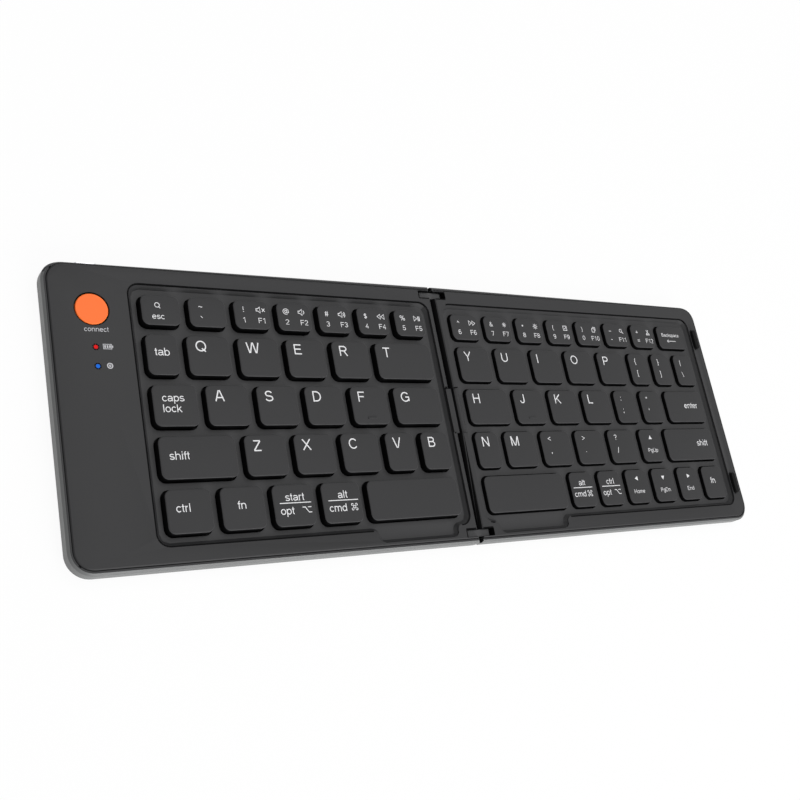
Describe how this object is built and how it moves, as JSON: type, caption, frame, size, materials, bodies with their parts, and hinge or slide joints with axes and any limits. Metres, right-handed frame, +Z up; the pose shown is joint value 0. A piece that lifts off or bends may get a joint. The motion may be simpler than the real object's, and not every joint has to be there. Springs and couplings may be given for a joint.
{
  "type": "folding keyboard",
  "caption": "Slim wireless keyboard in two halves that fold shut, keys inward, on a central double-pivot hinge.",
  "frame": {"origin": "on the surface that the feet rest on, at the folding line, midway from front to back", "axes": "+X to the right half, +Y to the back (number row side), +Z up, with the keyboard open and flat"},
  "size_m": [0.311, 0.1054, 0.0086],
  "materials": {
    "shell": "fine matt moulded ABS, a little smoother at the sides",
    "cover": "fine matt moulded ABS",
    "key_cap": "matt moulded ABS with light grey printed legends",
    "rubber": "soft black rubber",
    "plate_steel": "rolled steel sheet",
    "membrane_film": "printed polyester film",
    "dome_rubber": "translucent silicone rubber",
    "link_plastic": "natural white acetal",
    "magnet_nickel": "nickel-plated magnet",
    "board_laminate": "green solder-masked laminate",
    "battery_foil": "aluminium pouch foil",
    "socket_steel": "bright stamped steel",
    "switch_body": "black thermoplastic",
    "button_orange": "satin orange plastic",
    "light_red": "clear light pipe lit red",
    "light_blue": "clear light pipe lit blue",
    "hinge_link_plastic": "matt glass-filled nylon",
    "pin_steel": "ground steel",
    "cable_film": "amber polyimide film"
  },
  "bodies": {
    "left_half": {"left_bottom_shell": "shell", "left_top_cover": "cover", "left_feet": "rubber", "left_key_plate": "plate_steel", "left_membrane": "membrane_film", "left_dome_sheet": "dome_rubber", "left_scissor_links": "link_plastic", "circuit_board": "board_laminate", "battery_cell": "battery_foil", "charging_socket": "socket_steel", "connect_switch": "switch_body", "charge_light": "light_red", "pairing_light": "light_blue", "left_closing_magnet": "magnet_nickel"},
    "hinge_links": {"rear_hinge_link": "hinge_link_plastic", "front_hinge_link": "hinge_link_plastic", "hinge_pins": "pin_steel", "flex_cable": "cable_film"},
    "right_half": {"right_bottom_shell": "shell", "right_top_cover": "cover", "right_feet": "rubber", "right_key_plate": "plate_steel", "right_membrane": "membrane_film", "right_dome_sheet": "dome_rubber", "right_scissor_links": "link_plastic", "right_closing_magnet": "magnet_nickel", "closing_bumpers": "rubber"},
    "esc_key_body": {"esc_key": "key_cap"},
    "number_keys_left_body": {"number_keys_left": "key_cap"},
    "tab_key_body": {"tab_key": "key_cap"},
    "qwer_keys_body": {"qwer_keys": "key_cap"},
    "t_key_body": {"t_key": "key_cap"},
    "caps_lock_key_body": {"caps_lock_key": "key_cap"},
    "asd_keys_body": {"asd_keys": "key_cap"},
    "f_key_body": {"f_key": "key_cap"},
    "g_key_body": {"g_key": "key_cap"},
    "left_shift_key_body": {"left_shift_key": "key_cap"},
    "zxc_keys_body": {"zxc_keys": "key_cap"},
    "v_key_body": {"v_key": "key_cap"},
    "b_key_body": {"b_key": "key_cap"},
    "left_modifier_keys_body": {"left_modifier_keys": "key_cap"},
    "left_space_key_body": {"left_space_key": "key_cap"},
    "number_keys_right_body": {"number_keys_right": "key_cap"},
    "backspace_key_body": {"backspace_key": "key_cap"},
    "yuiop_keys_body": {"yuiop_keys": "key_cap"},
    "bracket_keys_body": {"bracket_keys": "key_cap"},
    "h_key_body": {"h_key": "key_cap"},
    "j_key_body": {"j_key": "key_cap"},
    "kl_keys_body": {"kl_keys": "key_cap"},
    "punctuation_keys_body": {"punctuation_keys": "key_cap"},
    "enter_key_body": {"enter_key": "key_cap"},
    "n_key_body": {"n_key": "key_cap"},
    "m_comma_keys_body": {"m_comma_keys": "key_cap"},
    "up_key_body": {"up_key": "key_cap"},
    "right_shift_key_body": {"right_shift_key": "key_cap"},
    "right_space_key_body": {"right_space_key": "key_cap"},
    "right_modifier_keys_body": {"right_modifier_keys": "key_cap"},
    "navigation_keys_body": {"navigation_keys": "key_cap"},
    "right_fn_key_body": {"right_fn_key": "key_cap"},
    "connect_button_body": {"connect_button": "button_orange"}
  },
  "joints": [
    {"name": "fold_left", "type": "hinge", "parent": "left_half", "child": "hinge_links", "pos_m": [-0.0036, 0, 0.0042], "axis": [0, -1, 0], "range_deg": [0, 90], "deforming": ["flex_cable"]},
    {"name": "fold_right", "type": "hinge", "parent": "hinge_links", "child": "right_half", "pos_m": [0.0036, 0, 0.0042], "axis": [0, -1, 0], "range_deg": [0, 90], "deforming": ["flex_cable"]},
    {"name": "press_esc_key", "type": "slide", "parent": "left_half", "child": "esc_key_body", "axis": [0, 0, -1], "range_m": [0, 0.0013], "stiffness_N_per_m": 270, "springref_m": -0.0006, "deforming": ["left_dome_sheet", "left_scissor_links"]},
    {"name": "press_number_keys_left", "type": "slide", "parent": "left_half", "child": "number_keys_left_body", "axis": [0, 0, -1], "range_m": [0, 0.0013], "stiffness_N_per_m": 270, "springref_m": -0.0006, "deforming": ["left_dome_sheet", "left_scissor_links"]},
    {"name": "press_tab_key", "type": "slide", "parent": "left_half", "child": "tab_key_body", "axis": [0, 0, -1], "range_m": [0, 0.0013], "stiffness_N_per_m": 270, "springref_m": -0.0006, "deforming": ["left_dome_sheet", "left_scissor_links"]},
    {"name": "press_qwer_keys", "type": "slide", "parent": "left_half", "child": "qwer_keys_body", "axis": [0, 0, -1], "range_m": [0, 0.0013], "stiffness_N_per_m": 270, "springref_m": -0.0006, "deforming": ["left_dome_sheet", "left_scissor_links"]},
    {"name": "press_t_key", "type": "slide", "parent": "left_half", "child": "t_key_body", "axis": [0, 0, -1], "range_m": [0, 0.0013], "stiffness_N_per_m": 270, "springref_m": -0.0006, "deforming": ["left_dome_sheet", "left_scissor_links"]},
    {"name": "press_caps_lock_key", "type": "slide", "parent": "left_half", "child": "caps_lock_key_body", "axis": [0, 0, -1], "range_m": [0, 0.0013], "stiffness_N_per_m": 270, "springref_m": -0.0006, "deforming": ["left_dome_sheet", "left_scissor_links"]},
    {"name": "press_asd_keys", "type": "slide", "parent": "left_half", "child": "asd_keys_body", "axis": [0, 0, -1], "range_m": [0, 0.0013], "stiffness_N_per_m": 270, "springref_m": -0.0006, "deforming": ["left_dome_sheet", "left_scissor_links"]},
    {"name": "press_f_key", "type": "slide", "parent": "left_half", "child": "f_key_body", "axis": [0, 0, -1], "range_m": [0, 0.0013], "stiffness_N_per_m": 270, "springref_m": -0.0006, "deforming": ["left_dome_sheet", "left_scissor_links"]},
    {"name": "press_g_key", "type": "slide", "parent": "left_half", "child": "g_key_body", "axis": [0, 0, -1], "range_m": [0, 0.0013], "stiffness_N_per_m": 270, "springref_m": -0.0006, "deforming": ["left_dome_sheet", "left_scissor_links"]},
    {"name": "press_left_shift_key", "type": "slide", "parent": "left_half", "child": "left_shift_key_body", "axis": [0, 0, -1], "range_m": [0, 0.0013], "stiffness_N_per_m": 270, "springref_m": -0.0006, "deforming": ["left_dome_sheet", "left_scissor_links"]},
    {"name": "press_zxc_keys", "type": "slide", "parent": "left_half", "child": "zxc_keys_body", "axis": [0, 0, -1], "range_m": [0, 0.0013], "stiffness_N_per_m": 270, "springref_m": -0.0006, "deforming": ["left_dome_sheet", "left_scissor_links"]},
    {"name": "press_v_key", "type": "slide", "parent": "left_half", "child": "v_key_body", "axis": [0, 0, -1], "range_m": [0, 0.0013], "stiffness_N_per_m": 270, "springref_m": -0.0006, "deforming": ["left_dome_sheet", "left_scissor_links"]},
    {"name": "press_b_key", "type": "slide", "parent": "left_half", "child": "b_key_body", "axis": [0, 0, -1], "range_m": [0, 0.0013], "stiffness_N_per_m": 270, "springref_m": -0.0006, "deforming": ["left_dome_sheet", "left_scissor_links"]},
    {"name": "press_left_modifier_keys", "type": "slide", "parent": "left_half", "child": "left_modifier_keys_body", "axis": [0, 0, -1], "range_m": [0, 0.0013], "stiffness_N_per_m": 270, "springref_m": -0.0006, "deforming": ["left_dome_sheet", "left_scissor_links"]},
    {"name": "press_left_space_key", "type": "slide", "parent": "left_half", "child": "left_space_key_body", "axis": [0, 0, -1], "range_m": [0, 0.0013], "stiffness_N_per_m": 270, "springref_m": -0.0006, "deforming": ["left_dome_sheet", "left_scissor_links"]},
    {"name": "press_number_keys_right", "type": "slide", "parent": "right_half", "child": "number_keys_right_body", "axis": [0, 0, -1], "range_m": [0, 0.0013], "stiffness_N_per_m": 270, "springref_m": -0.0006, "deforming": ["right_dome_sheet", "right_scissor_links"]},
    {"name": "press_backspace_key", "type": "slide", "parent": "right_half", "child": "backspace_key_body", "axis": [0, 0, -1], "range_m": [0, 0.0013], "stiffness_N_per_m": 270, "springref_m": -0.0006, "deforming": ["right_dome_sheet", "right_scissor_links"]},
    {"name": "press_yuiop_keys", "type": "slide", "parent": "right_half", "child": "yuiop_keys_body", "axis": [0, 0, -1], "range_m": [0, 0.0013], "stiffness_N_per_m": 270, "springref_m": -0.0006, "deforming": ["right_dome_sheet", "right_scissor_links"]},
    {"name": "press_bracket_keys", "type": "slide", "parent": "right_half", "child": "bracket_keys_body", "axis": [0, 0, -1], "range_m": [0, 0.0013], "stiffness_N_per_m": 270, "springref_m": -0.0006, "deforming": ["right_dome_sheet", "right_scissor_links"]},
    {"name": "press_h_key", "type": "slide", "parent": "right_half", "child": "h_key_body", "axis": [0, 0, -1], "range_m": [0, 0.0013], "stiffness_N_per_m": 270, "springref_m": -0.0006, "deforming": ["right_dome_sheet", "right_scissor_links"]},
    {"name": "press_j_key", "type": "slide", "parent": "right_half", "child": "j_key_body", "axis": [0, 0, -1], "range_m": [0, 0.0013], "stiffness_N_per_m": 270, "springref_m": -0.0006, "deforming": ["right_dome_sheet", "right_scissor_links"]},
    {"name": "press_kl_keys", "type": "slide", "parent": "right_half", "child": "kl_keys_body", "axis": [0, 0, -1], "range_m": [0, 0.0013], "stiffness_N_per_m": 270, "springref_m": -0.0006, "deforming": ["right_dome_sheet", "right_scissor_links"]},
    {"name": "press_punctuation_keys", "type": "slide", "parent": "right_half", "child": "punctuation_keys_body", "axis": [0, 0, -1], "range_m": [0, 0.0013], "stiffness_N_per_m": 270, "springref_m": -0.0006, "deforming": ["right_dome_sheet", "right_scissor_links"]},
    {"name": "press_enter_key", "type": "slide", "parent": "right_half", "child": "enter_key_body", "axis": [0, 0, -1], "range_m": [0, 0.0013], "stiffness_N_per_m": 270, "springref_m": -0.0006, "deforming": ["right_dome_sheet", "right_scissor_links"]},
    {"name": "press_n_key", "type": "slide", "parent": "right_half", "child": "n_key_body", "axis": [0, 0, -1], "range_m": [0, 0.0013], "stiffness_N_per_m": 270, "springref_m": -0.0006, "deforming": ["right_dome_sheet", "right_scissor_links"]},
    {"name": "press_m_comma_keys", "type": "slide", "parent": "right_half", "child": "m_comma_keys_body", "axis": [0, 0, -1], "range_m": [0, 0.0013], "stiffness_N_per_m": 270, "springref_m": -0.0006, "deforming": ["right_dome_sheet", "right_scissor_links"]},
    {"name": "press_up_key", "type": "slide", "parent": "right_half", "child": "up_key_body", "axis": [0, 0, -1], "range_m": [0, 0.0013], "stiffness_N_per_m": 270, "springref_m": -0.0006, "deforming": ["right_dome_sheet", "right_scissor_links"]},
    {"name": "press_right_shift_key", "type": "slide", "parent": "right_half", "child": "right_shift_key_body", "axis": [0, 0, -1], "range_m": [0, 0.0013], "stiffness_N_per_m": 270, "springref_m": -0.0006, "deforming": ["right_dome_sheet", "right_scissor_links"]},
    {"name": "press_right_space_key", "type": "slide", "parent": "right_half", "child": "right_space_key_body", "axis": [0, 0, -1], "range_m": [0, 0.0013], "stiffness_N_per_m": 270, "springref_m": -0.0006, "deforming": ["right_dome_sheet", "right_scissor_links"]},
    {"name": "press_right_modifier_keys", "type": "slide", "parent": "right_half", "child": "right_modifier_keys_body", "axis": [0, 0, -1], "range_m": [0, 0.0013], "stiffness_N_per_m": 270, "springref_m": -0.0006, "deforming": ["right_dome_sheet", "right_scissor_links"]},
    {"name": "press_navigation_keys", "type": "slide", "parent": "right_half", "child": "navigation_keys_body", "axis": [0, 0, -1], "range_m": [0, 0.0013], "stiffness_N_per_m": 270, "springref_m": -0.0006, "deforming": ["right_dome_sheet", "right_scissor_links"]},
    {"name": "press_right_fn_key", "type": "slide", "parent": "right_half", "child": "right_fn_key_body", "axis": [0, 0, -1], "range_m": [0, 0.0013], "stiffness_N_per_m": 270, "springref_m": -0.0006, "deforming": ["right_dome_sheet", "right_scissor_links"]},
    {"name": "press_connect_button", "type": "slide", "parent": "left_half", "child": "connect_button_body", "axis": [0, 0, -1], "range_m": [0, 0.0004], "stiffness_N_per_m": 900, "springref_m": -0.0004}
  ]
}
